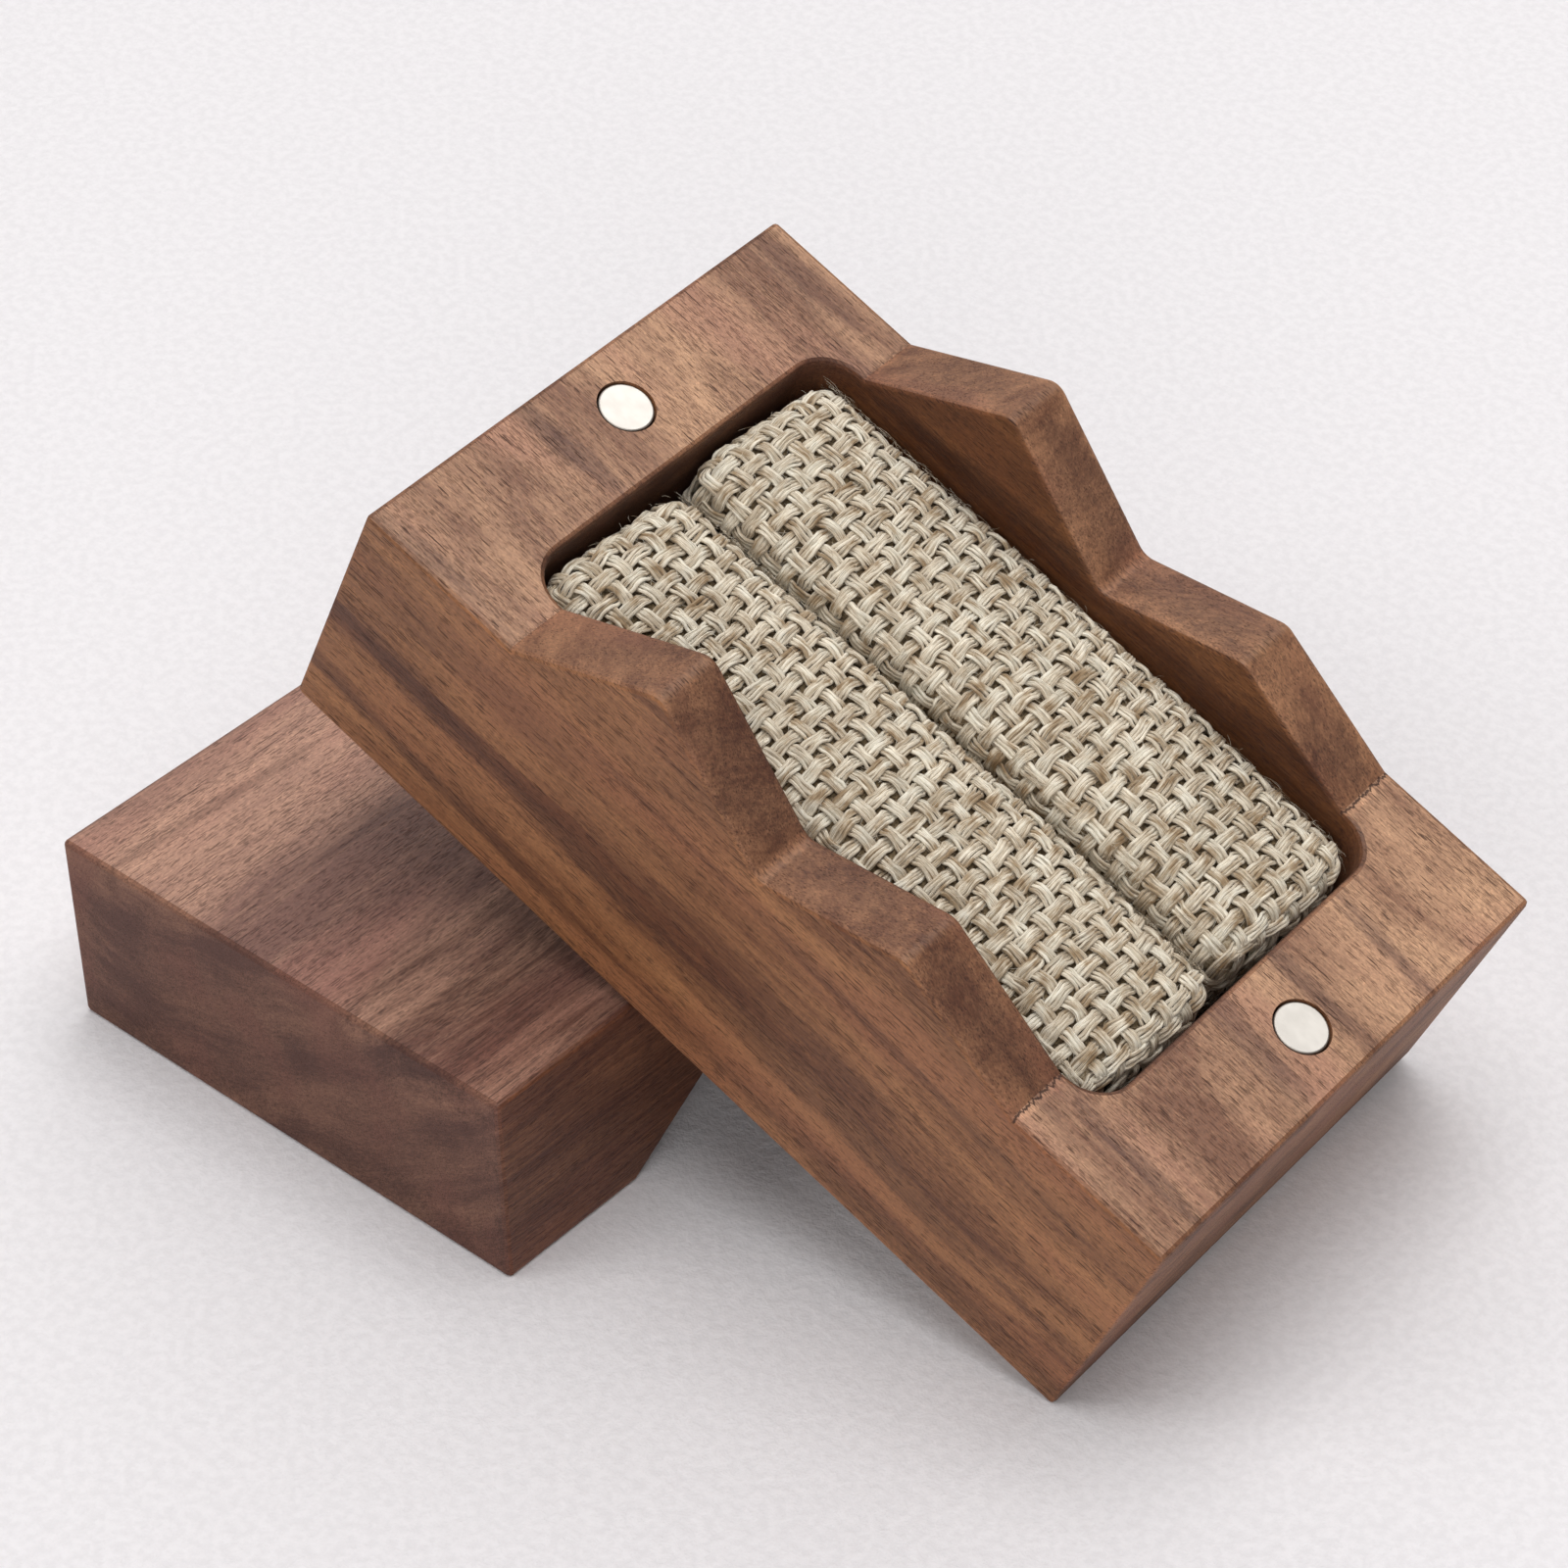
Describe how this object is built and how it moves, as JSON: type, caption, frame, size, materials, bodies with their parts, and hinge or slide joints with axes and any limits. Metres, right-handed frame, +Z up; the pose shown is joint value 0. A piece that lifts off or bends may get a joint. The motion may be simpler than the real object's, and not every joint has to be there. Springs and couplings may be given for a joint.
{
  "type": "wooden ring box",
  "caption": "Wooden ring box in halves that meet along a mountain line and hold shut with disc magnets, shown open, with a padded linen ring cushion in the base half.",
  "frame": {"origin": "centre of the open box's footprint, on the surface that it lies on", "axes": "+Z up, +Y along the lid half's length from its high-peak end, +X across the lid half towards the foot of the leaning base half"},
  "size_m": [0.1098, 0.09, 0.0623],
  "materials": {
    "base_walnut": "oiled walnut, satin",
    "lid_walnut": "oiled walnut, satin",
    "nickel": "nickel plate, satin",
    "linen": "coarse plain weave",
    "foam": "soft foam, hidden",
    "board": "grey board, hidden"
  },
  "bodies": {
    "lid": {"lid_block": "lid_walnut", "lid_magnet_high_end": "nickel", "lid_magnet_low_end": "nickel"},
    "base": {"base_block": "base_walnut", "base_magnet_high_end": "nickel", "base_magnet_low_end": "nickel"},
    "cushion": {"cushion_cover_front": "linen", "cushion_cover_back": "linen", "foam_core_front": "foam", "foam_core_back": "foam", "cushion_board": "board"}
  },
  "joints": [
    {"name": "base_lift", "type": "slide", "parent": "lid", "child": "base", "axis": [0, 0, 1], "range_m": [0, 0.07]},
    {"name": "cushion_lift", "type": "slide", "parent": "base", "child": "cushion", "axis": [0.4179, 0, 0.9085], "range_m": [0, 0.035]}
  ]
}
